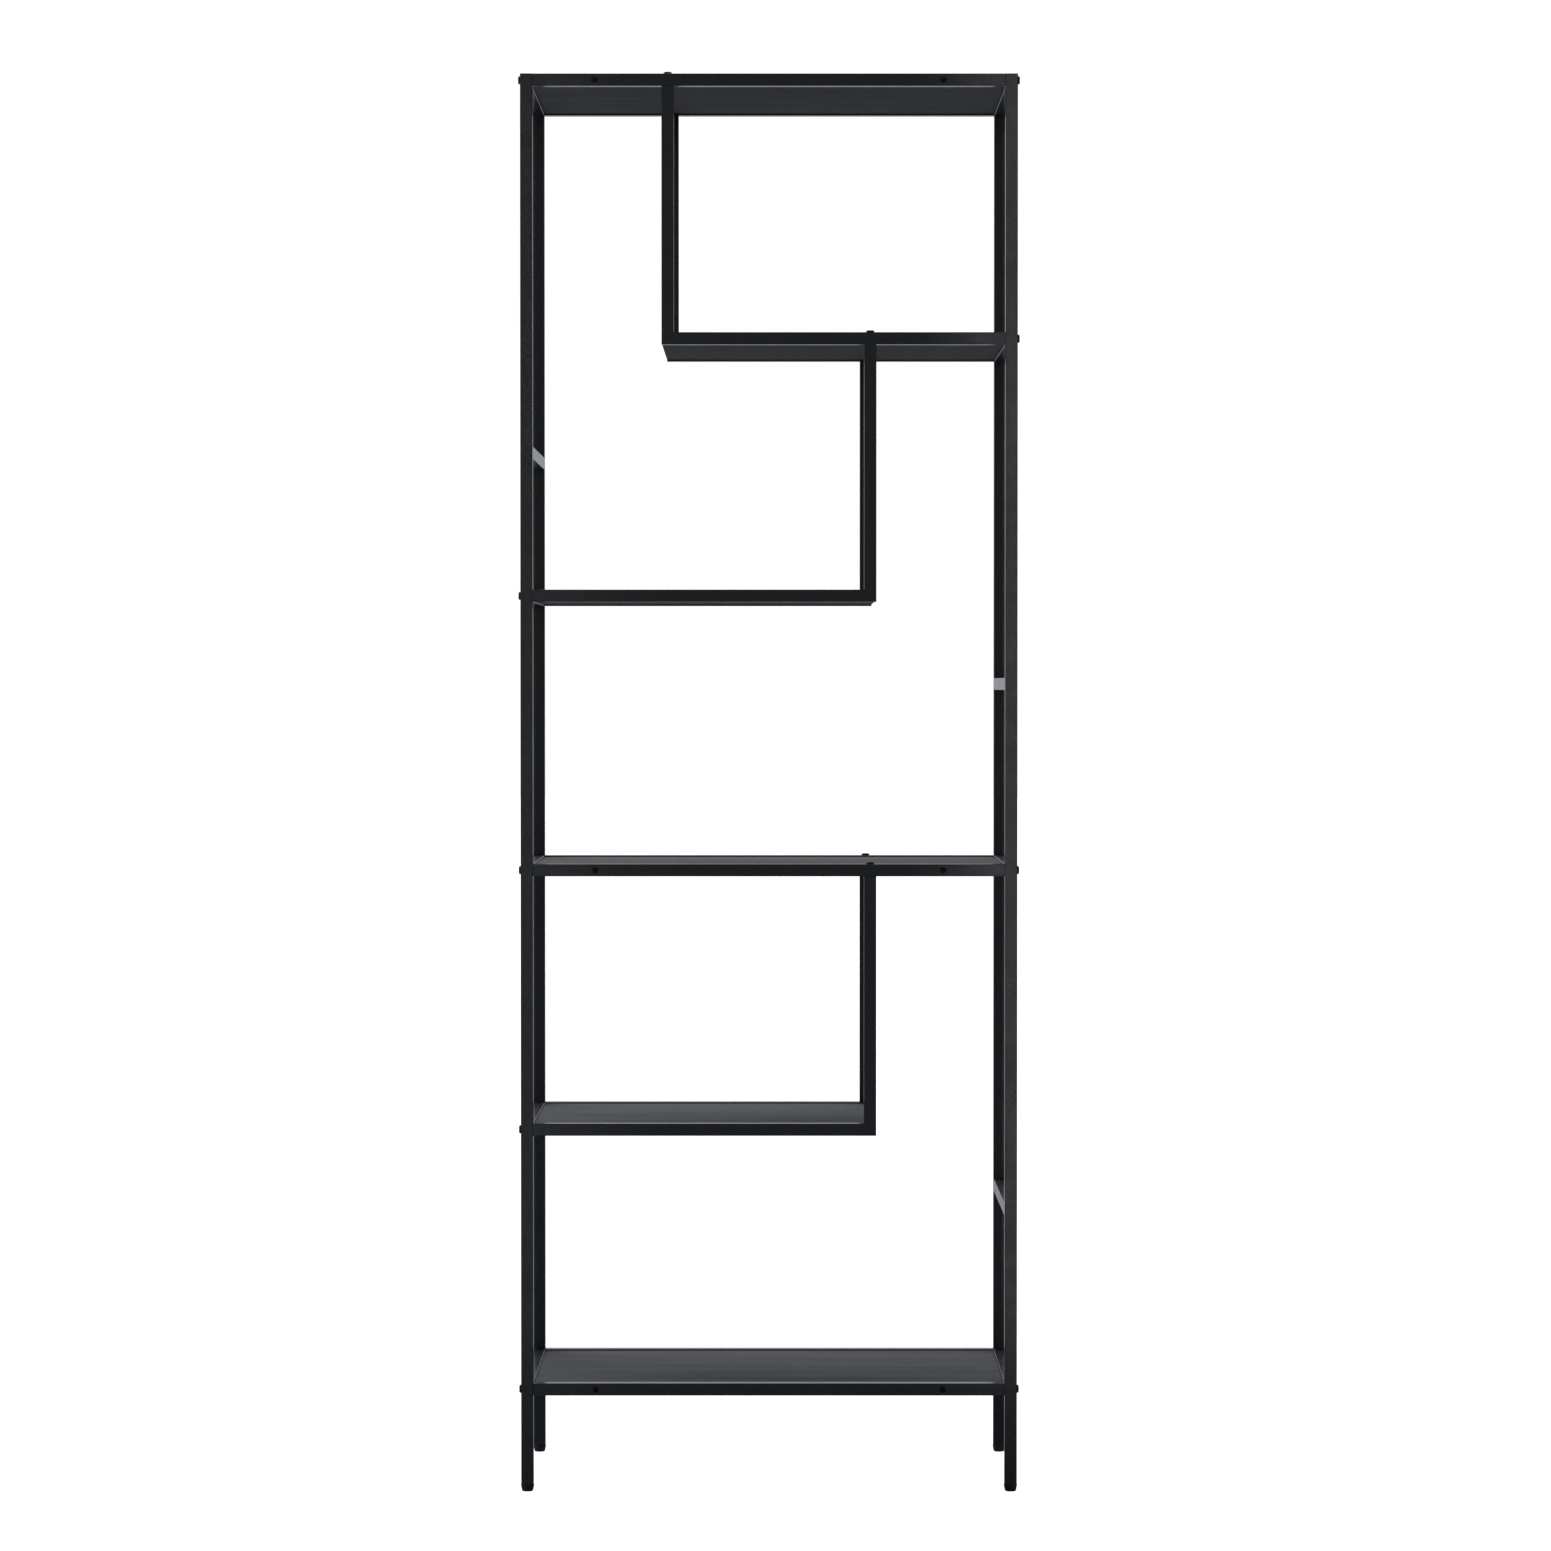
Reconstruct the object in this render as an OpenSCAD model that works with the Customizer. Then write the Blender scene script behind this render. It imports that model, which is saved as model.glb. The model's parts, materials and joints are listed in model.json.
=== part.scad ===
// Tall open bookcase: a bolted square-tube steel frame with six fixed shelf boards.
// Three shelves run the full width. The other three hang from the shelf above on an L-shaped
// pair of tube frames and reach one side only. Origin: centre of the footprint, on the floor.
// +X is to the right and -Y is the front.

/* [Overall size] */
// Width over the uprights
frame_w = 648; // [600:1:760]
// Depth over the uprights
frame_d = 350; // [280:1:420]
// Height from the floor to the top of the uprights
frame_h = 1850; // [1800:1:1900]

/* [Tube] */
// Outside width of the square tube
tube = 16; // [16:1:20]
// Wall thickness of the tube
tube_wall = 1.2; // [1:0.1:1.5]
// Outside corner radius of the tube
tube_corner = 0.8; // [0.8:0.1:2]

/* [Shelf levels] */
// Underside of the second shelf from the top
shelf_2_z = 1498; // [1480:1:1520]
// Underside of the third shelf
shelf_3_z = 1163; // [1140:1:1180]
// Underside of the fourth shelf
shelf_4_z = 805; // [790:1:830]
// Underside of the fifth shelf
shelf_5_z = 466; // [450:1:480]
// Underside of the bottom shelf
shelf_6_z = 126; // [100:1:150]

/* [Spare rungs] */
// Underside of the left side's rung between shelves
left_rung_z = 1350; // [1300:1:1400]
// Underside of the right side's upper rung between shelves
right_upper_rung_z = 1048; // [1000:1:1100]
// Underside of the right side's lower rung between shelves
right_lower_rung_z = 360; // [300:1:400]

/* [Hanging posts] */
// Distance from the middle to the outer face of each hanging post
post_face_x = 140; // [100:1:180]

/* [Boards] */
// Thickness of the boards
board_t = 12; // [10:0.5:12]
// How far the boards lie below the top of the rails
board_drop = 2; // [1:0.5:3]
// Gap between a board and the tubes round it
board_gap = 0.4; // [0.2:0.1:1]

/* [Bolts and screws] */
// Diameter of the side and post bolts
bolt_d = 6; // [5:1:6]
// Diameter of their heads
bolt_head_d = 10.8; // [10:0.1:11]
// Height of their heads
bolt_head_h = 2.6; // [2.3:0.1:3.3]
// Diameter of the board screws
screw_d = 4; // [3:0.5:4]
// Diameter of their heads
screw_head_d = 8; // [7:0.1:8.5]
// Height of their heads
screw_head_h = 2.2; // [1.5:0.1:2.4]
// Distance of the board screws from the middle
screw_x = 227; // [200:1:250]

/* [Levelling feet] */
// Distance from the floor to the end of the upright, feet screwed right in
foot_h = 10; // [9:0.5:12]
// Widest diameter of the foot
foot_d = 17.2; // [17:0.1:18]
// Diameter of the foot near the floor
foot_floor_d = 14.8; // [13:0.1:15]
// Diameter of the foot's stem
stem_d = 6; // [6:1:8]

/* [Hidden] */
TOP_Z = frame_h - tube;
SHELF_Z = [TOP_Z, shelf_2_z, shelf_3_z, shelf_4_z, shelf_5_z, shelf_6_z];
LEFT_RUNG_Z = [TOP_Z, left_rung_z, shelf_3_z, shelf_4_z, shelf_5_z, shelf_6_z];
RIGHT_RUNG_Z = [TOP_Z, shelf_2_z, right_upper_rung_z, shelf_4_z, right_lower_rung_z, shelf_6_z];

// Inner faces and centre lines of the uprights
INNER_X = frame_w / 2 - tube;
INNER_Y = frame_d / 2 - tube;
UPRIGHT_X = INNER_X + tube / 2;
UPRIGHT_Y = INNER_Y + tube / 2;

// Where each shelf ends on the left and on the right
SHELF_LEFT = [-INNER_X, -post_face_x, -INNER_X, -INNER_X, -INNER_X, -INNER_X];
SHELF_RIGHT = [INNER_X, INNER_X, post_face_x, INNER_X, post_face_x, INNER_X];

// Each hanging post: the shelf it hangs from, the shelf it carries, and the side its outer face is on
POSTS = [[0, 1, -1], [1, 2, 1], [3, 4, 1]];
FULL_SHELVES = [for (s = [0:5]) if (is_full(s)) s];
PART_SHELVES = [for (s = [0:5]) if (!is_full(s)) s];
// Shelves that the side bolts of each side hold
LEFT_BOLTED = [0, 2, 3, 4, 5];
RIGHT_BOLTED = [0, 1, 3, 5];

BORE = tube - 2 * tube_wall;
PLUG_GAP = 0.1;
PLUG_L = 15;
CAP_L = 4;
CAP_HOLE_L = 2;
CAP_WALL = 1.8;
BOLT_GAP = 0.3;
THREAD_GAP = 0.05;
BOLT_L = 30;
SOCKET_ACROSS = 4.6;
SOCKET_DEPTH = 1.6;
SCREW_L = 30;
SCREW_SOCKET_ACROSS = 2.9;
SCREW_SOCKET_DEPTH = 1;
HEAD_RIM = 1.7;
HEAD_SHOULDER = 0.8;
SCREW_HEAD_RIM = 0.2;
SCREW_HEAD_SHOULDER = 2;
INSERT_D = 7.4;
INSERT_L = 15;
PIN_D = 6;
PIN_L = 20;
PIN_GAP = 0.1;
PIN_INSET = 60;
STEM_L = 24;
STEM_IN_FOOT = 6;
RUNNING_GAP = 0.05;
FOOT_GAP = 0.3;
FOOT_FLANGE_H = 2.6;
FOOT_SOLE_R = 1.5;
FOOT_INSERT_L = 22;
FINE = 64;

SIDES = ["left", "right"];
ENDS = ["front", "rear"];
CORNERS = [for (e = ENDS, s = SIDES) str(e, "_", s)];
SIX = [1:6];

STEEL = "#232425";
WOOD = "#34353a";
PLASTIC = "#151516";
ZINC = "#8d8f92";

// Whether shelf s runs the full width
function is_full(s) = SHELF_LEFT[s] == -INNER_X && SHELF_RIGHT[s] == INNER_X;
function side_sign(side) = side == "left" ? -1 : 1;
function end_sign(end) = end == "front" ? -1 : 1;
function rung_z(side) = side == "left" ? LEFT_RUNG_Z : RIGHT_RUNG_Z;
function bolted(side) = side == "left" ? LEFT_BOLTED : RIGHT_BOLTED;
// Outer face and centre of hanging post p
function post_x(p) = POSTS[p][2] * post_face_x;
function post_mid_x(p) = POSTS[p][2] * (post_face_x - tube / 2);
// The hanging posts whose bolts go through the rails of shelf i
function posts_under(i) = [for (p = [0:2]) if (POSTS[p][0] == i) p];
function carried_by(i) = [for (p = [0:2]) if (POSTS[p][1] == i) p];
// Middles of the pins along a partial shelf
function pin_xs(i) = [SHELF_LEFT[i] + PIN_INSET, SHELF_RIGHT[i] - PIN_INSET];

// ---- shared shapes ----

// The tube's outside section, a square with round corners
module tube_outside() {
    half = tube / 2 - tube_corner;
    square([tube, tube - 2 * tube_corner], center = true);
    square([tube - 2 * tube_corner, tube], center = true);
    for (x = [-half, half], y = [-half, half])
        translate([x, y]) circle(r = tube_corner, $fn = FINE);
}

// A length of tube along +Z, centred on the Z axis
module tube_length(length) {
    linear_extrude(length) difference() {
        tube_outside();
        square(BORE, center = true);
    }
}

// Turns a shape that lies along +Z so that it lies along +X or +Y
module along_x() { rotate([90, 0, 90]) children(); }
module along_y() { rotate([-90, 0, 0]) children(); }

// A plain round bar along +Z
module bar(d, length) { cylinder(d = d, h = length, $fn = FINE); }

// A head on z = 0: a low rim, a sloping shoulder that wide, a flat top and its six-sided socket
module flat_head(d, h, rim, shoulder, across, depth) {
    difference() {
        rotate_extrude($fn = FINE)
            polygon([[0, 0], [d / 2, 0], [d / 2, rim], [d / 2 - shoulder, h], [0, h]]);
        translate([0, 0, h - depth]) cylinder(d = across / cos(30), h = h, $fn = 6);
    }
}

// A bolt with the underside of its head on z = 0 and its shank down -Z
module bolt(d, length, head_d, head_h, rim, shoulder, across, depth) {
    flat_head(head_d, head_h, rim, shoulder, across, depth);
    translate([0, 0, -length]) bar(d, length);
}

module frame_bolt() {
    bolt(bolt_d, BOLT_L, bolt_head_d, bolt_head_h, HEAD_RIM, HEAD_SHOULDER, SOCKET_ACROSS, SOCKET_DEPTH);
}
module board_screw() {
    bolt(screw_d, SCREW_L, screw_head_d, screw_head_h, SCREW_HEAD_RIM, SCREW_HEAD_SHOULDER,
         SCREW_SOCKET_ACROSS, SCREW_SOCKET_DEPTH);
}

// A square plug that fills the tube's bore, from z = 0 up, with a round hole through it
module drilled_plug(length, hole_d) {
    side = BORE - 2 * PLUG_GAP;
    difference() {
        translate([-side / 2, -side / 2, 0]) cube([side, side, length]);
        translate([0, 0, -1]) bar(hole_d, length + 2);
    }
}

// ---- places that repeat ----

// At each side bolt: origin on the upright's outer face, +Z pointing out of the frame
module at_side_bolts() {
    for (side = SIDES, end = ENDS, i = bolted(side))
        translate([side_sign(side) * frame_w / 2, end_sign(end) * UPRIGHT_Y, SHELF_Z[i] + tube / 2])
            rotate([0, side_sign(side) * 90, 0]) children();
}

// At each post bolt: origin on top of the rail that the post hangs from, +Z up
module at_post_bolts() {
    for (end = ENDS, p = [0:2])
        translate([post_mid_x(p), end_sign(end) * UPRIGHT_Y, SHELF_Z[POSTS[p][0]] + tube])
            children();
}

// At each board screw of shelf i: origin on the rail's outer face, +Z pointing out
module at_board_screws(i) {
    for (end = ENDS, x = [-screw_x, screw_x])
        translate([x, end_sign(end) * frame_d / 2, SHELF_Z[i] + tube / 2])
            rotate([-end_sign(end) * 90, 0, 0]) children();
}

// At each pin of partial shelf i: origin on the rail's inner face, +Z pointing into the rail
module at_pins(i) {
    for (end = ENDS, x = pin_xs(i))
        translate([x, end_sign(end) * INNER_Y, SHELF_Z[i] + tube / 2])
            rotate([-end_sign(end) * 90, 0, 0]) children();
}

// At each corner of the frame, on the floor
module at_corners() {
    for (x = [-UPRIGHT_X, UPRIGHT_X], y = [-UPRIGHT_Y, UPRIGHT_Y]) translate([x, y, 0]) children();
}

// ---- steel frame ----

module upright(end, side) {
    color(STEEL) difference() {
        translate([side_sign(side) * UPRIGHT_X, end_sign(end) * UPRIGHT_Y, foot_h])
            tube_length(frame_h - foot_h);
        at_side_bolts() translate([0, 0, -tube - 1]) bar(bolt_d + 2 * BOLT_GAP, tube + 2);
    }
}

module rung(side, i) {
    color(STEEL) translate([side_sign(side) * UPRIGHT_X, -INNER_Y, rung_z(side)[i - 1] + tube / 2])
        along_y() tube_length(2 * INNER_Y);
}

// Everything on the far side of the mitre between a hanging post and its rail.
// keep_post is true for the post's half and false for the rail's half.
module mitre_cutter(p, keep_post) {
    long = 2 * tube;
    turn = POSTS[p][2] < 0 ? 0 : 180;
    translate([post_x(p), 0, SHELF_Z[POSTS[p][1]]]) rotate([0, 45, turn])
        translate([keep_post ? 0 : -long, -frame_d, -long]) cube([long, 2 * frame_d, 2 * long]);
}

module rail(end, i) {
    s = i - 1;
    color(STEEL) difference() {
        translate([SHELF_LEFT[s], end_sign(end) * UPRIGHT_Y, SHELF_Z[s] + tube / 2])
            along_x() tube_length(SHELF_RIGHT[s] - SHELF_LEFT[s]);
        for (p = carried_by(s)) mitre_cutter(p, false);
        for (p = posts_under(s))
            translate([post_mid_x(p), end_sign(end) * UPRIGHT_Y, SHELF_Z[s] - 1])
                bar(bolt_d + 2 * BOLT_GAP, tube + 2);
        if (is_full(s))
            at_board_screws(s) translate([0, 0, -tube - 1]) bar(screw_d + 2 * BOLT_GAP, tube + 2);
        else
            at_pins(s) translate([0, 0, -1]) bar(PIN_D + 2 * THREAD_GAP, tube_wall + 2);
    }
}

module hanging_post(end, p) {
    foot = SHELF_Z[POSTS[p][1]];
    color(STEEL) difference() {
        translate([post_mid_x(p), end_sign(end) * UPRIGHT_Y, foot])
            tube_length(SHELF_Z[POSTS[p][0]] - foot);
        mitre_cutter(p, true);
    }
}

// ---- boards ----

module board(i) {
    s = i - 1;
    left = SHELF_LEFT[s] + (SHELF_LEFT[s] == -INNER_X ? board_gap : 0);
    right = SHELF_RIGHT[s] - (SHELF_RIGHT[s] == INNER_X ? board_gap : 0);
    depth = 2 * (INNER_Y - board_gap);
    color(WOOD) difference() {
        translate([left, -depth / 2, SHELF_Z[s] + tube - board_drop - board_t])
            cube([right - left, depth, board_t]);
        if (is_full(s))
            at_board_screws(s) translate([0, 0, -tube - board_gap - INSERT_L])
                bar(INSERT_D + 2 * THREAD_GAP, INSERT_L + 1);
        else
            at_pins(s) translate([0, 0, -PIN_L / 2 - PIN_GAP]) bar(PIN_D + 2 * PIN_GAP, PIN_L / 2 + 1);
    }
}

// ---- fasteners and plugs ----

module side_bolts() { color(STEEL) at_side_bolts() frame_bolt(); }
module post_bolts() { color(STEEL) at_post_bolts() frame_bolt(); }
module board_screws() { color(STEEL) for (i = FULL_SHELVES) at_board_screws(i) board_screw(); }

module rail_end_plugs() {
    color(ZINC) at_side_bolts() translate([0, 0, -tube - PLUG_L])
        drilled_plug(PLUG_L, bolt_d + 2 * THREAD_GAP);
}

module post_end_plugs() {
    color(ZINC) at_post_bolts() translate([0, 0, -tube - PLUG_L])
        drilled_plug(PLUG_L, bolt_d + 2 * THREAD_GAP);
}

module board_inserts() {
    color(ZINC) for (i = FULL_SHELVES) at_board_screws(i)
        translate([0, 0, -tube - board_gap - INSERT_L]) difference() {
            bar(INSERT_D, INSERT_L);
            translate([0, 0, -1]) bar(screw_d + 2 * THREAD_GAP, INSERT_L + 2);
        }
}

module board_pins() {
    color(ZINC) for (i = PART_SHELVES) at_pins(i) translate([0, 0, -PIN_L / 2]) bar(PIN_D, PIN_L);
}

// Hollow plastic plugs, flush with the tops of the uprights
module top_plugs() {
    side = BORE - 2 * PLUG_GAP;
    hollow = side - 2 * CAP_WALL;
    color(PLASTIC) at_corners() translate([0, 0, frame_h - CAP_L]) difference() {
        translate([-side / 2, -side / 2, 0]) cube([side, side, CAP_L]);
        translate([-hollow / 2, -hollow / 2, -1]) cube([hollow, hollow, CAP_HOLE_L + 1]);
    }
}

// ---- levelling feet ----

module foot_inserts() {
    color(PLASTIC) at_corners() translate([0, 0, foot_h])
        drilled_plug(FOOT_INSERT_L, stem_d + 2 * RUNNING_GAP);
}

module at_foot(end, side) {
    translate([side_sign(side) * UPRIGHT_X, end_sign(end) * UPRIGHT_Y, 0]) children();
}

// Half the foot's outline: a flange on top, a taper, and a round edge at the floor
module foot_outline() {
    top = foot_h - FOOT_GAP;
    taper_top = top - FOOT_FLANGE_H;
    square([foot_floor_d / 2 - FOOT_SOLE_R, top]);
    translate([foot_floor_d / 2 - FOOT_SOLE_R, FOOT_SOLE_R]) circle(r = FOOT_SOLE_R, $fn = FINE);
    polygon([[0, FOOT_SOLE_R], [foot_floor_d / 2, FOOT_SOLE_R], [foot_d / 2, taper_top],
             [foot_d / 2, top], [0, top]]);
}

module foot_base(end, side) {
    color(PLASTIC) at_foot(end, side) difference() {
        rotate_extrude($fn = FINE) foot_outline();
        translate([0, 0, foot_h - STEM_IN_FOOT])
            bar(stem_d + 2 * RUNNING_GAP, STEM_IN_FOOT + 1);
    }
}

module foot_stem(end, side) {
    color(ZINC) at_foot(end, side) translate([0, 0, foot_h - STEM_IN_FOOT + RUNNING_GAP])
        bar(stem_d, STEM_L);
}

for (e = ENDS, s = SIDES) {
    upright(e, s);
    foot_base(e, s);
    foot_stem(e, s);
}
for (s = SIDES, i = SIX) rung(s, i);
for (e = ENDS, i = SIX) rail(e, i);
for (e = ENDS, p = [0:2])
    hanging_post(e, p);
for (i = SIX) board(i);
foot_inserts();
top_plugs();
side_bolts();
post_bolts();
board_screws();
rail_end_plugs();
post_end_plugs();
board_inserts();
board_pins();
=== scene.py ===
"""Looks for the open steel-tube bookcase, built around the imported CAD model.

Lengths are metres and angles in names ending in _DEG are degrees. Noise scales are per metre,
because every material takes its place from the object coordinates. Colours are linear.
"""

import json
import math
import random

import bpy
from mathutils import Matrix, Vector


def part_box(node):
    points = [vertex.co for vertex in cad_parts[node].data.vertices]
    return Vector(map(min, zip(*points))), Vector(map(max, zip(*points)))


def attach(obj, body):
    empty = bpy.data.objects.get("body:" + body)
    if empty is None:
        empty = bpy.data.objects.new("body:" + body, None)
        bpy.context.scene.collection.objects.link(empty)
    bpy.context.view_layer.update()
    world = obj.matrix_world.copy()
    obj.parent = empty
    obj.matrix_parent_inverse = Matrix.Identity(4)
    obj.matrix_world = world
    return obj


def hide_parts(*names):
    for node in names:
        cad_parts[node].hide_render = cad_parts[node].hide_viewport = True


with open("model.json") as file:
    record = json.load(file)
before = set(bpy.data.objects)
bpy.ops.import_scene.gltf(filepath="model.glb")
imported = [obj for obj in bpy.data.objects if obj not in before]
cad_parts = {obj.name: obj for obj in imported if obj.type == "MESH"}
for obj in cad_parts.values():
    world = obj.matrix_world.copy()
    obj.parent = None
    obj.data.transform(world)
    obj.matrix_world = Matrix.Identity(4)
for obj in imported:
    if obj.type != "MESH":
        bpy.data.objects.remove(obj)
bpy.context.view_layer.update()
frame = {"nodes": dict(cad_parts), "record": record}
record = frame["record"]
nodes = frame["nodes"]
scene = bpy.context.scene
slot_of = {part["node"]: part["material_slot"] for part in record["subparts"]}
CORNERS = ("front_left", "front_right", "rear_left", "rear_right")

# ---------------------------------------------------------------- camera
CAMERA_AT = (0.0085, -6.595, 1.054)
CAMERA_PITCH_DEG = 1.047  # below the horizontal
LENS_MM, SENSOR_MM = 114.3, 36.0
CLIP_NEAR, CLIP_FAR = 0.05, 200


def make_camera():
    data = bpy.data.cameras.new("camera")
    data.lens = LENS_MM
    data.sensor_width = SENSOR_MM
    data.clip_start, data.clip_end = CLIP_NEAR, CLIP_FAR
    camera = bpy.data.objects.new("camera", data)
    camera.location = CAMERA_AT
    camera.rotation_euler = (math.radians(90 - CAMERA_PITCH_DEG), 0, 0)
    scene.collection.objects.link(camera)
    scene.camera = camera


# ---------------------------------------------------------------- material helpers
NOISE_BAND = (0.3, 0.7)  # where most of a noise value lies


class Tree:
    """A few shorthands for building a node tree."""

    def __init__(self, tree):
        self.tree = tree
        tree.nodes.clear()

    def add(self, kind, **values):
        node = self.tree.nodes.new(kind)
        for name, value in values.items():
            setattr(node, name, value)
        return node

    def link(self, a, b):
        self.tree.links.new(a, b)

    def scaled(self, vector, scale):
        mapping = self.add("ShaderNodeMapping")
        mapping.inputs["Scale"].default_value = scale
        self.link(vector, mapping.inputs["Vector"])
        return mapping.outputs["Vector"]

    def coords(self, scale=(1, 1, 1)):
        return self.scaled(self.add("ShaderNodeTexCoord").outputs["Object"], scale)

    def noise(self, vector, scale, detail, rough=0.55, distortion=0.0):
        n = self.add("ShaderNodeTexNoise")
        n.inputs["Scale"].default_value = scale
        n.inputs["Detail"].default_value = detail
        n.inputs["Roughness"].default_value = rough
        n.inputs["Distortion"].default_value = distortion
        self.link(vector, n.inputs["Vector"])
        return n.outputs["Fac"]

    def ramp(self, value, stops):
        r = self.add("ShaderNodeValToRGB")
        while len(r.color_ramp.elements) < len(stops):
            r.color_ramp.elements.new(0.5)
        for e, (at, colour) in zip(r.color_ramp.elements, stops):
            e.position = at
            e.color = (*colour, 1)
        self.link(value, r.inputs["Fac"])
        return r.outputs["Color"]

    def ranged(self, value, start, end, low, high, smooth=False):
        """`low` at `start` and `high` at `end`, and neither less nor more beyond them."""
        m = self.add("ShaderNodeMapRange")
        m.interpolation_type = "SMOOTHSTEP" if smooth else "LINEAR"
        for name, v in (("From Min", start), ("From Max", end), ("To Min", low), ("To Max", high)):
            m.inputs[name].default_value = v
        self.link(value, m.inputs["Value"])
        return m.outputs["Result"]

    def between(self, noise, low, high):
        return self.ranged(noise, *NOISE_BAND, low, high)

    def tint(self, noise, dark, pale):
        return self.ramp(noise, list(zip(NOISE_BAND, (dark, pale))))

    def math(self, kind, a, b=0.0, c=0.0):
        m = self.add("ShaderNodeMath", operation=kind)
        for socket, v in zip(m.inputs, (a, b, c)):
            if hasattr(v, "is_output"):
                self.link(v, socket)
            else:
                socket.default_value = v
        return m.outputs["Value"]

    def mix(self, factor, a, b):
        """The colour of socket `a`, turned by `factor` towards the plain colour `b`."""
        m = self.add("ShaderNodeMix", data_type="RGBA")
        self.link(factor, m.inputs[0])
        self.link(a, m.inputs[6])
        m.inputs[7].default_value = (*b, 1)
        return m.outputs[2]

    def bump(self, height, distance, strength, below=None):
        b = self.add("ShaderNodeBump")
        b.inputs["Strength"].default_value = strength
        b.inputs["Distance"].default_value = distance
        self.link(height, b.inputs["Height"])
        if below is not None:
            self.link(below, b.inputs["Normal"])
        return b.outputs["Normal"]


def new_material(name):
    material = bpy.data.materials.new(name)
    material.use_nodes = True
    t = Tree(material.node_tree)
    shader = t.add("ShaderNodeBsdfPrincipled")
    out = t.add("ShaderNodeOutputMaterial")
    t.link(shader.outputs["BSDF"], out.inputs["Surface"])
    return material, t, shader


def powder_coat():
    """Black powder coat: faint clouds and flecks, orange peel and a finer grit."""
    material, t, s = new_material("powder_coat_black")
    place = t.coords()
    cloud = t.noise(place, scale=14, detail=3)
    fleck = t.noise(place, scale=900, detail=2)
    tone = t.tint(cloud, (0.0100, 0.0112, 0.0128), (0.0128, 0.0143, 0.0163))
    speck = t.ranged(fleck, 0.45, 0.75, 0, 0.5)
    t.link(t.mix(speck, tone, (0.018, 0.020, 0.0225)), s.inputs["Base Color"])
    peel = t.noise(place, scale=480, detail=2, rough=0.5)
    grit = t.noise(place, scale=1900, detail=2, rough=0.6)
    sheen = t.noise(place, scale=60, detail=4)
    t.link(t.between(sheen, 0.20, 0.26), s.inputs["Roughness"])
    skin = t.bump(peel, distance=0.000012, strength=0.6)
    t.link(t.bump(grit, distance=0.000004, strength=0.6, below=skin), s.inputs["Normal"])
    s.inputs["IOR"].default_value = 1.45
    return material


def ash_board():
    """Black stained ash: grain along X that wanders a little across Y, with fine open pores."""
    material, t, s = new_material("ash_grain_black")
    wander = t.noise(t.coords((1.2, 4, 4)), scale=2.2, detail=3)
    bent = t.add("ShaderNodeVectorMath", operation="MULTIPLY_ADD")
    t.link(wander, bent.inputs[0])
    bent.inputs[1].default_value = (0, 0.035, 0)
    t.link(t.coords(), bent.inputs[2])
    place = bent.outputs["Vector"]
    stretched = t.scaled(place, (0.9, 26, 26))
    grain = t.noise(stretched, scale=3.2, detail=6, rough=0.62, distortion=0.25)
    pores = t.noise(t.scaled(place, (9, 420, 420)), scale=2.4, detail=4, rough=0.7)
    tone = t.ramp(grain, [(0.28, (0.017, 0.018, 0.022)), (0.5, (0.026, 0.0272, 0.032)),
                          (0.72, (0.037, 0.038, 0.044))])
    dark = t.ranged(pores, 0.52, 0.68, 0, 0.55)
    t.link(t.mix(dark, tone, (0.012, 0.0125, 0.015)), s.inputs["Base Color"])
    t.link(t.ranged(grain, 0.35, 0.65, 0.75, 0.95), s.inputs["Roughness"])
    ridges = t.bump(grain, distance=0.00012, strength=0.5)
    cut = t.math("MULTIPLY", dark, -1.0)
    t.link(t.bump(cut, distance=0.00012, strength=0.8, below=ridges), s.inputs["Normal"])
    s.inputs["IOR"].default_value = 1.40
    return material


def satin_bolt():
    """Near-black satin finish of the bolts and screws."""
    material, t, s = new_material("satin_black_bolt")
    place = t.coords()
    cloud = t.noise(place, scale=160, detail=3)
    tone = t.tint(cloud, (0.0016, 0.0016, 0.0018), (0.0030, 0.0030, 0.0034))
    t.link(tone, s.inputs["Base Color"])
    t.link(t.between(t.noise(place, scale=500, detail=3), 0.30, 0.42), s.inputs["Roughness"])
    tooth = t.noise(place, scale=1500, detail=2)
    t.link(t.bump(tooth, distance=0.00001, strength=0.5), s.inputs["Normal"])
    s.inputs["IOR"].default_value = 1.30
    return material


def moulded_plastic(name, dark, pale, rough):
    """Black plastic with the fine texture of its mould. `rough` is the middle of its roughness."""
    material, t, s = new_material(name)
    place = t.coords()
    t.link(t.tint(t.noise(place, scale=60, detail=3), dark, pale), s.inputs["Base Color"])
    sheen = t.noise(place, scale=300, detail=3)
    t.link(t.between(sheen, rough - 0.06, rough + 0.06), s.inputs["Roughness"])
    texture = t.noise(place, scale=1300, detail=3, rough=0.7)
    t.link(t.bump(texture, distance=0.00004, strength=0.6), s.inputs["Normal"])
    s.inputs["IOR"].default_value = 1.45
    return material


def zinc_plate():
    """Bright zinc plate, slightly brushed around the stems."""
    material, t, s = new_material("zinc_plate")
    place = t.coords()
    cloud = t.noise(place, scale=220, detail=4)
    t.link(t.tint(cloud, (0.42, 0.43, 0.45), (0.58, 0.59, 0.60)), s.inputs["Base Color"])
    t.link(t.between(t.noise(place, scale=700, detail=3), 0.26, 0.42), s.inputs["Roughness"])
    brushed = t.noise(t.coords((1, 1, 6)), scale=900, detail=2)
    t.link(t.bump(brushed, distance=0.00001, strength=0.5), s.inputs["Normal"])
    s.inputs["Metallic"].default_value = 1.0
    return material


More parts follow.
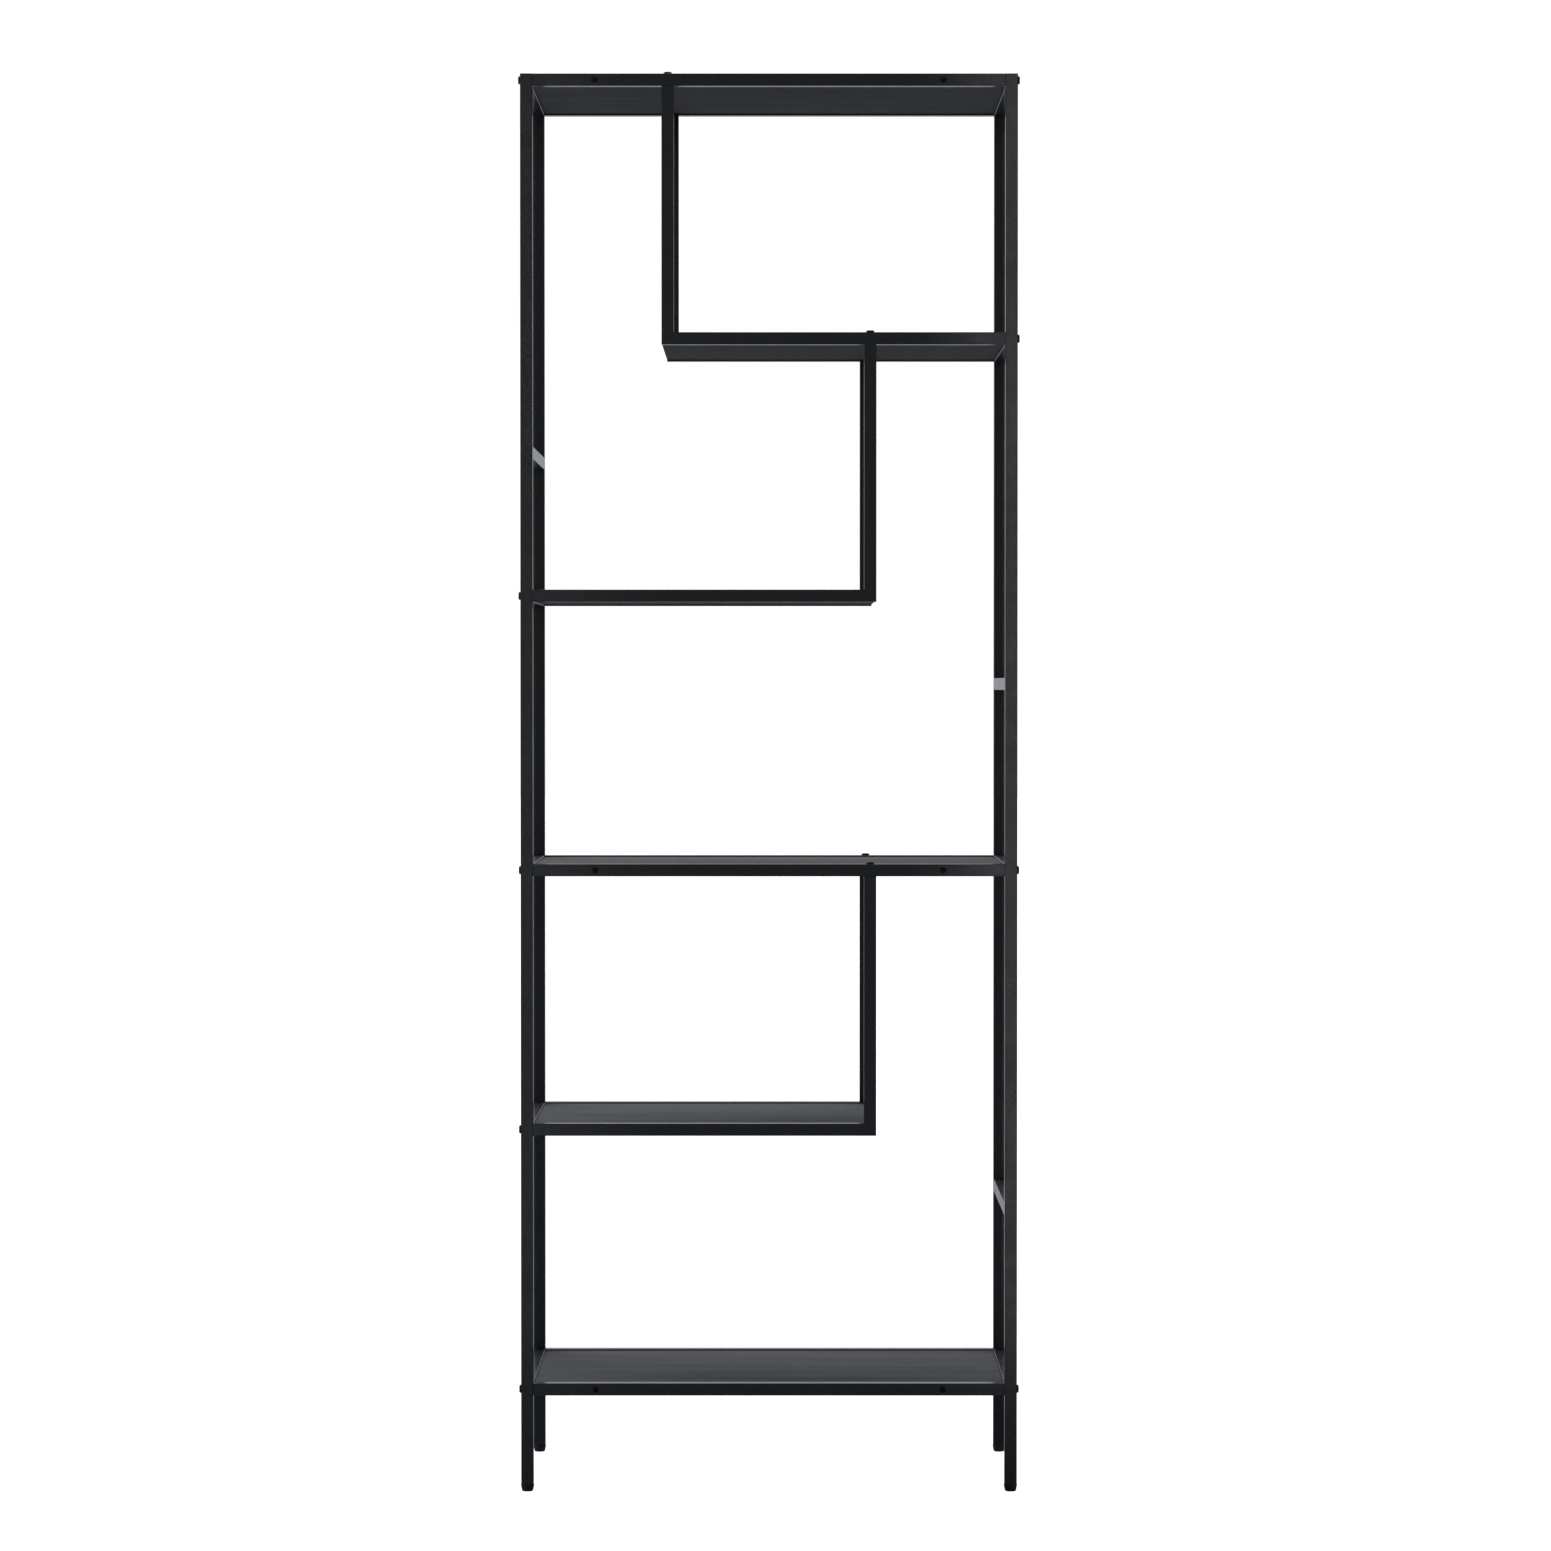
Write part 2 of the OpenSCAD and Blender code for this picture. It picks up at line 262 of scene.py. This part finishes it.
def build_materials():
    """The finish of every material slot."""
    foot_dark, foot_pale = (0.0025, 0.0025, 0.0028), (0.0045, 0.0045, 0.005)
    plug_dark, plug_pale = (0.009, 0.009, 0.0095), (0.014, 0.014, 0.015)
    zinc = zinc_plate()
    return {
        "tube": powder_coat(),
        "board": ash_board(),
        "bolt": satin_bolt(),
        "foot": moulded_plastic("moulded_foot", foot_dark, foot_pale, 0.34),
        "plug": moulded_plastic("moulded_plug", plug_dark, plug_pale, 0.53),
        "stem": zinc,
        "zinc_steel": zinc,
    }


# ---------------------------------------------------------------- extra pieces
def mesh_object(name, points, faces, material, smooth=True):
    mesh = bpy.data.meshes.new(name)
    mesh.from_pydata([tuple(p) for p in points], [], faces)
    mesh.materials.append(material)
    mesh.validate()
    mesh.polygons.foreach_set("use_smooth", [smooth] * len(mesh.polygons))
    mesh.update()
    thing = bpy.data.objects.new(name, mesh)
    scene.collection.objects.link(thing)
    return thing


THREAD_PITCH = 0.001
THREAD_DEPTH = 0.00055
THREAD_CREST, THREAD_ROOT = 0.14, 0.22  # flat parts, as shares of the pitch
END_CHAMFER = 0.0006
END_CUT = 0.6  # depth of the chamfer at the very end, as a share of the thread's depth
AROUND = 32
PER_PITCH = 8


def thread_radius(phase, outer):
    """Radius at a phase of 0 to 1 along one pitch of a thread with a flat crest and root."""
    slope = (1 - THREAD_CREST - THREAD_ROOT) / 2
    if phase < THREAD_CREST:
        return outer
    if phase < THREAD_CREST + slope:
        return outer - THREAD_DEPTH * (phase - THREAD_CREST) / slope
    if phase < THREAD_CREST + slope + THREAD_ROOT:
        return outer - THREAD_DEPTH
    return outer - THREAD_DEPTH * (1 - phase) / slope


def threaded_stem(corner, material):
    """A real thread in place of the plain stem of one foot."""
    low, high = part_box(f"foot_stem_{corner}")
    centre = (low + high) / 2
    outer = (high.x - low.x) / 2
    length = high.z - low.z
    rings = round(length / THREAD_PITCH * PER_PITCH)
    points, faces = [], []
    for k in range(rings + 1):
        z = length * k / rings
        ends = min(1.0, min(z, length - z) / END_CHAMFER)
        for j in range(AROUND):
            phase = (z / THREAD_PITCH - j / AROUND) % 1.0
            r = thread_radius(phase, outer) - (1 - ends) * THREAD_DEPTH * END_CUT
            a = 2 * math.pi * j / AROUND
            points.append((centre.x + r * math.cos(a), centre.y + r * math.sin(a), low.z + z))
    for k in range(rings):
        for j in range(AROUND):
            n = (j + 1) % AROUND
            a, b = k * AROUND, (k + 1) * AROUND
            faces.append((a + j, a + n, b + n, b + j))
    faces.append(tuple(range(AROUND - 1, -1, -1)))
    faces.append(tuple(rings * AROUND + j for j in range(AROUND)))
    piece = mesh_object(f"threaded_stem_{corner}", points, faces, material)
    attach(piece, f"stem_{corner}")
    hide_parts(f"foot_stem_{corner}")


RUNGS_A_SIDE = 6
LEVEL = 0.001  # two heights closer than this are level
BEAD_LEG = 0.0017
BEAD_SUNK = -0.0001  # the bead's root lies this far inside the tubes
BEAD_INSET = 0.0013  # from each end of the bead to the tube's side
BEAD_RIPPLES, RIPPLE_SIZE, RIPPLE_CHANCE = 9, 0.10, 0.04
BEAD_END, BEAD_GROWTH = 0.35, 6  # share of the full size at each end, and how fast it grows
BEAD_HOLLOW = 0.42  # how far the bead's face dips between its legs
BEAD_SQUARE = 0.2  # how far it then fills out towards the square of its legs
BEAD_STEPS = 34
BEAD_ARC = 6


def weld_bead(points, faces, corner, across, up, out, rng):
    """A rippled fillet bead along `across`, in the inside corner between `up` and `out`."""
    start = len(points)
    phase = rng.random()
    for k in range(BEAD_STEPS + 1):
        t = k / BEAD_STEPS
        wave = RIPPLE_SIZE * math.sin(2 * math.pi * (t * BEAD_RIPPLES + phase))
        ripple = 1 + wave + rng.uniform(-RIPPLE_CHANCE, RIPPLE_CHANCE)
        taper = min(1.0, BEAD_GROWTH * min(t, 1 - t) + BEAD_END)
        leg = BEAD_LEG * ripple * taper
        base = corner + across * (t - 0.5) + (up + out) * BEAD_SUNK
        points.append(base)
        for m in range(BEAD_ARC + 1):
            a = math.pi / 2 * m / BEAD_ARC
            bulge = 1 - BEAD_HOLLOW * math.sin(2 * a)
            reach = leg * bulge * (abs(math.cos(a)) + abs(math.sin(a))) ** BEAD_SQUARE
            points.append(base + up * (reach * math.sin(a)) + out * (reach * math.cos(a)))
    ring = BEAD_ARC + 2
    flip = across.cross(out).dot(up) < 0
    for k in range(BEAD_STEPS):
        a, b = start + k * ring, start + (k + 1) * ring
        for m in range(ring):
            n = (m + 1) % ring
            face = (a + m, b + m, b + n, a + n)
            faces.append(face[::-1] if flip else face)
    first = tuple(start + m for m in range(ring))
    last = tuple(start + BEAD_STEPS * ring + m for m in range(ring))
    faces.append(first[::-1] if flip else first)
    faces.append(last if flip else last[::-1])


def weld_beads(material):
    """A bead over and under each end of each rung, except along the tops of the uprights."""
    rng = random.Random(7)
    points, faces = [], []
    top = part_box("upright_front_left")[1].z
    for side in ("left", "right"):
        for i in range(1, RUNGS_A_SIDE + 1):
            low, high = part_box(f"rung_{side}_{i}")
            x = (low.x + high.x) / 2
            across = Vector((high.x - low.x - 2 * BEAD_INSET, 0, 0))
            for y, out in ((low.y, 1), (high.y, -1)):
                for z, up in ((low.z, -1), (high.z, 1)):
                    if z > top - LEVEL:
                        continue
                    weld_bead(points, faces, Vector((x, y, z)), across,
                              Vector((0, 0, up)), Vector((0, out, 0)), rng)
    piece = mesh_object("weld_beads", points, faces, material)
    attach(piece, "frame")


# ---------------------------------------------------------------- stage
FLOOR_TINT = (0.285, 0.297, 0.312, 1)
FLOOR_HALF = 40
FLOOR_BACK = 0.245  # glow of the floor far behind the bookcase
FLOOR_BACK_FROM, FLOOR_BACK_TO = 0.1, 1.4


def make_floor():
    """The floor lies where the feet end when they are screwed right out, so no pose sinks into it.

    The camera sees it as plain white. The bookcase sees it as pale grey that glows softly behind.
    """
    joints = record["behaviour"]["joints"]
    travel = max(joint["range_m"][1] for joint in joints if joint["type"] == "slide")
    material = bpy.data.materials.new("studio_floor")
    material.use_nodes = True
    t = Tree(material.node_tree)
    out = t.add("ShaderNodeOutputMaterial")
    plain = t.add("ShaderNodeBsdfDiffuse")
    plain.inputs["Color"].default_value = FLOOR_TINT
    glow = t.add("ShaderNodeEmission")
    both = t.add("ShaderNodeAddShader")
    seen = t.add("ShaderNodeLightPath")
    split = t.add("ShaderNodeSeparateXYZ")
    t.link(t.coords(), split.inputs["Vector"])
    y = split.outputs["Y"]
    behind = t.ranged(y, FLOOR_BACK_FROM, FLOOR_BACK_TO, 0, FLOOR_BACK, smooth=True)
    level = t.math("MAXIMUM", behind, seen.outputs["Is Camera Ray"])
    t.link(level, glow.inputs["Strength"])
    t.link(plain.outputs["BSDF"], both.inputs[0])
    t.link(glow.outputs["Emission"], both.inputs[1])
    t.link(both.outputs["Shader"], out.inputs["Surface"])
    a, b, z = -FLOOR_HALF, FLOOR_HALF, -travel
    corners = [(a, a, z), (b, a, z), (b, b, z), (a, b, z)]
    floor = mesh_object("studio_floor", corners, [(0, 1, 2, 3)], material, smooth=False)


# Strength of the soft light that comes from each side
WORLD_FRONT, WORLD_SIDE, WORLD_BACK, WORLD_LEFT = 0.305, 0.09, 0.62, 0.5
WORLD_HIGH, HIGH_LEAN = 2.55, 0.6  # high behind, and how much more of it comes from the left
WORLD_TINT = (0.955, 0.975, 1.01, 1)
BACKDROP = 1.05  # what the camera sees


def make_world():
    """Soft light whose strength depends on the direction it comes from, and a white backdrop."""
    world = bpy.data.worlds.new("studio")
    scene.world = world
    world.use_nodes = True
    t = Tree(world.node_tree)
    out = t.add("ShaderNodeOutputWorld")
    where = t.add("ShaderNodeTexCoord")
    split = t.add("ShaderNodeSeparateXYZ")
    t.link(where.outputs["Generated"], split.inputs["Vector"])
    x, y, z = (split.outputs[axis] for axis in "XYZ")
    back = t.ranged(y, 0.1, 0.7, 0, WORLD_BACK - WORLD_SIDE, smooth=True)
    ahead = t.ranged(y, -0.1, -0.7, 0, WORLD_FRONT - WORLD_SIDE, smooth=True)
    left = t.ranged(x, -0.6, -0.95, 0, WORLD_LEFT, smooth=True)
    level = t.math("ADD", t.math("ADD", back, ahead), t.math("ADD", left, WORLD_SIDE))
    rear = t.ranged(y, 0.0, 0.35, 0, 1, smooth=True)
    above = t.ranged(z, 0.4, 0.8, 0, WORLD_HIGH, smooth=True)
    lean = t.math("MULTIPLY_ADD", x, -HIGH_LEAN, 1.0)
    level = t.math("MULTIPLY_ADD", t.math("MULTIPLY", rear, above), lean, level)
    soft = t.add("ShaderNodeBackground")
    t.link(level, soft.inputs["Strength"])
    soft.inputs["Color"].default_value = WORLD_TINT
    white = t.add("ShaderNodeBackground")
    white.inputs["Color"].default_value = (1, 1, 1, 1)
    white.inputs["Strength"].default_value = BACKDROP
    seen = t.add("ShaderNodeLightPath")
    pick = t.add("ShaderNodeMixShader")
    t.link(seen.outputs["Is Camera Ray"], pick.inputs["Fac"])
    t.link(soft.outputs["Background"], pick.inputs[1])
    t.link(white.outputs["Background"], pick.inputs[2])
    t.link(pick.outputs["Shader"], out.inputs["Surface"])


LIGHT_TINT = (0.955, 0.985, 1.03)


def area_light(name, at, aim, size, power, spread_deg):
    data = bpy.data.lights.new(name, "AREA")
    data.shape = "RECTANGLE"
    data.size, data.size_y = size
    data.energy = power
    data.color = LIGHT_TINT
    data.spread = math.radians(spread_deg)
    light = bpy.data.objects.new(name, data)
    light.location = at
    light.rotation_euler = (Vector(aim) - Vector(at)).to_track_quat("-Z", "Y").to_euler()
    light.visible_camera = False
    scene.collection.objects.link(light)


STRIP_PIECES = 3
STRIP_AHEAD = 1.2  # in front of the uprights' faces
STRIP_LOW, STRIP_TALL, STRIP_WIDE = 0.03, 2.2, 0.016


def strip_light(name, x, turn_deg, spread_deg, power):
    """A tall narrow light in front of an upright, turned a little about the vertical.

    Its pieces all face the camera's mirror image behind the uprights' front faces, so an upright
    is lit evenly over its whole height.
    """
    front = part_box("upright_front_left")[0].y
    at_y = front - STRIP_AHEAD
    mirror_y = 2 * front - CAMERA_AT[1]
    aim = (x + (mirror_y - at_y) * math.tan(math.radians(turn_deg)), mirror_y, CAMERA_AT[2])
    tall = STRIP_TALL / STRIP_PIECES
    for k in range(STRIP_PIECES):
        at = (x, at_y, STRIP_LOW + (k + 0.5) * tall)
        area_light(f"{name}_{k + 1}", at, aim, (STRIP_WIDE, tall), power / STRIP_PIECES, spread_deg)


def make_lights():
    strip_light("strip_right", 0.335, turn_deg=6, spread_deg=26, power=0.064)
    strip_light("strip_left", -0.335, turn_deg=-2, spread_deg=28, power=0.0155)
    area_light("rear_left", at=(-0.9, 1.2, 2.2), aim=(0, 0, 1.1), size=(1.4, 2.0), power=10,
               spread_deg=120)


# ---------------------------------------------------------------- build
BOARD_EDGE = 0.0004
EDGE_ANGLE_DEG = 60  # sharper edges than this get the board's small chamfer


def ease_edges(board):
    bevel = board.modifiers.new("edge", "BEVEL")
    bevel.width = BOARD_EDGE
    bevel.segments = 2
    bevel.limit_method = "ANGLE"
    bevel.angle_limit = math.radians(EDGE_ANGLE_DEG)
    bevel.use_clamp_overlap = False
    bevel.harden_normals = True


make_camera()
finishes = build_materials()
for name, thing in nodes.items():
    thing.data.materials.clear()
    thing.data.materials.append(finishes[slot_of[name]])
    if slot_of[name] == "board":
        ease_edges(thing)
for corner in CORNERS:
    threaded_stem(corner, finishes["stem"])
weld_beads(finishes["tube"])
make_floor()
make_world()
make_lights()
scene.view_settings.view_transform = "Standard"
scene.view_settings.look = "None"
